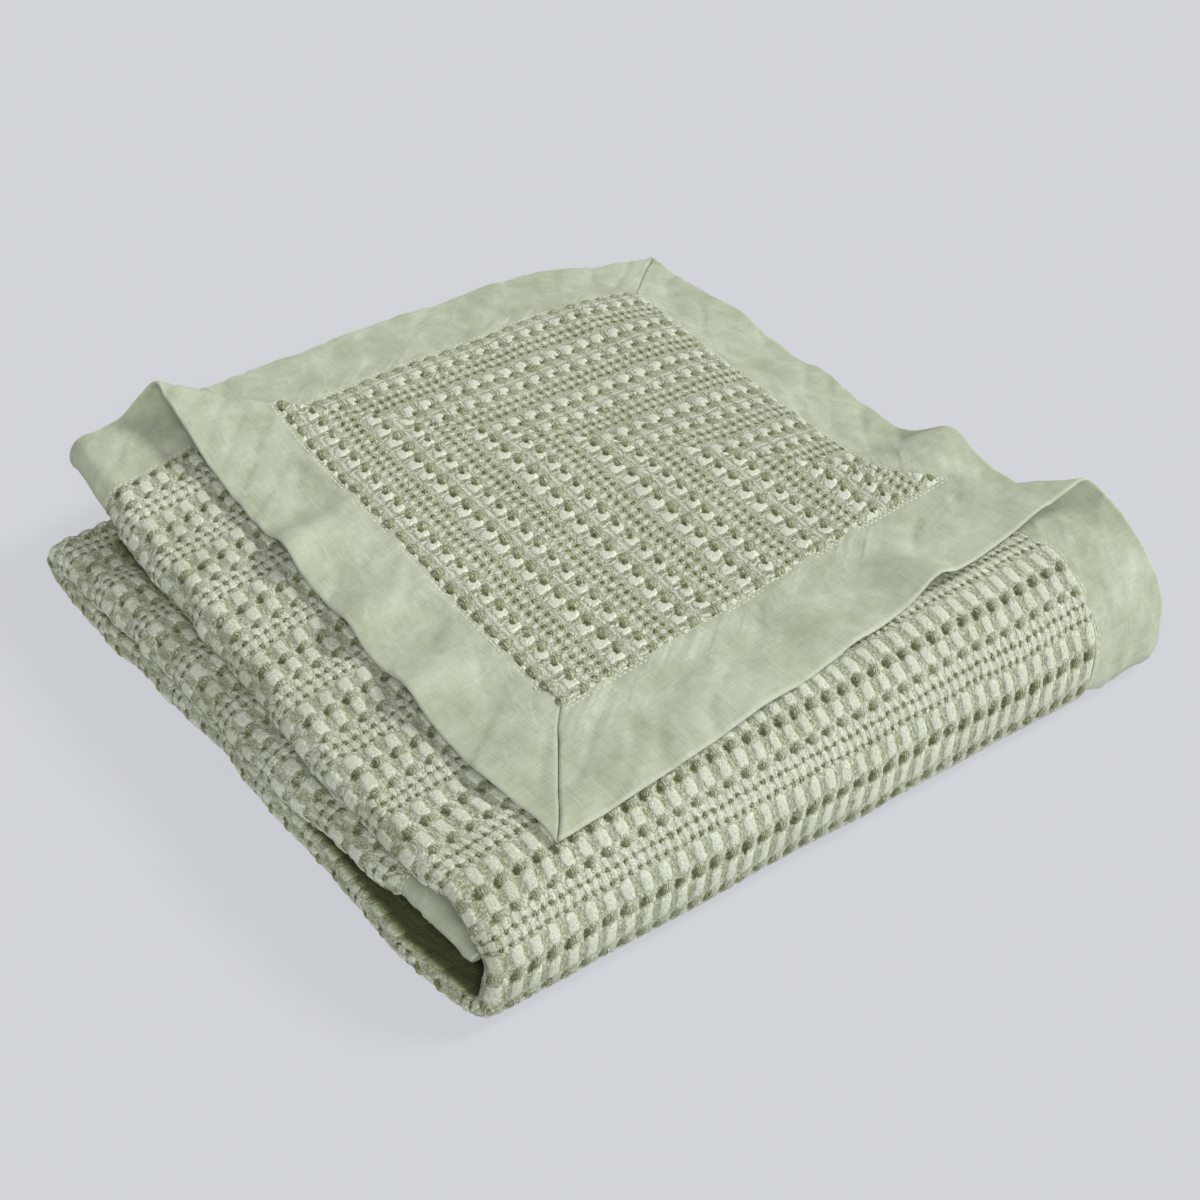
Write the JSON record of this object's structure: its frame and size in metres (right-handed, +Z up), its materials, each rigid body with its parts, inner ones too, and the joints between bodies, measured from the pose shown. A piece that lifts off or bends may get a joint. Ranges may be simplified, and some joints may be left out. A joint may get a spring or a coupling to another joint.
{
  "type": "folded woven cotton blanket",
  "caption": "Woven cotton throw blanket with plain mitred borders, folded into a flat stack of soft layers with one top corner turned over",
  "frame": {"origin": "middle of the box around the folded blanket, at the height of the surface that it rests on", "axes": "+X runs to the right along the folded front edge, from the rolled left fold to the open side; +Y runs from the front fold to the back; +Z is up"},
  "size_m": [0.5708, 0.5648, 0.1137],
  "materials": {
    "panel_weave": "soft matt openwork cotton weave in pale sage green",
    "border_cloth": "matt plain-woven cotton with fine slubs in pale sage green"
  },
  "bodies": {
    "root": {"woven_panel": "panel_weave", "head_border": "border_cloth", "foot_border": "border_cloth", "upper_side_border": "border_cloth", "lower_side_border": "border_cloth"}
  },
  "joints": []
}
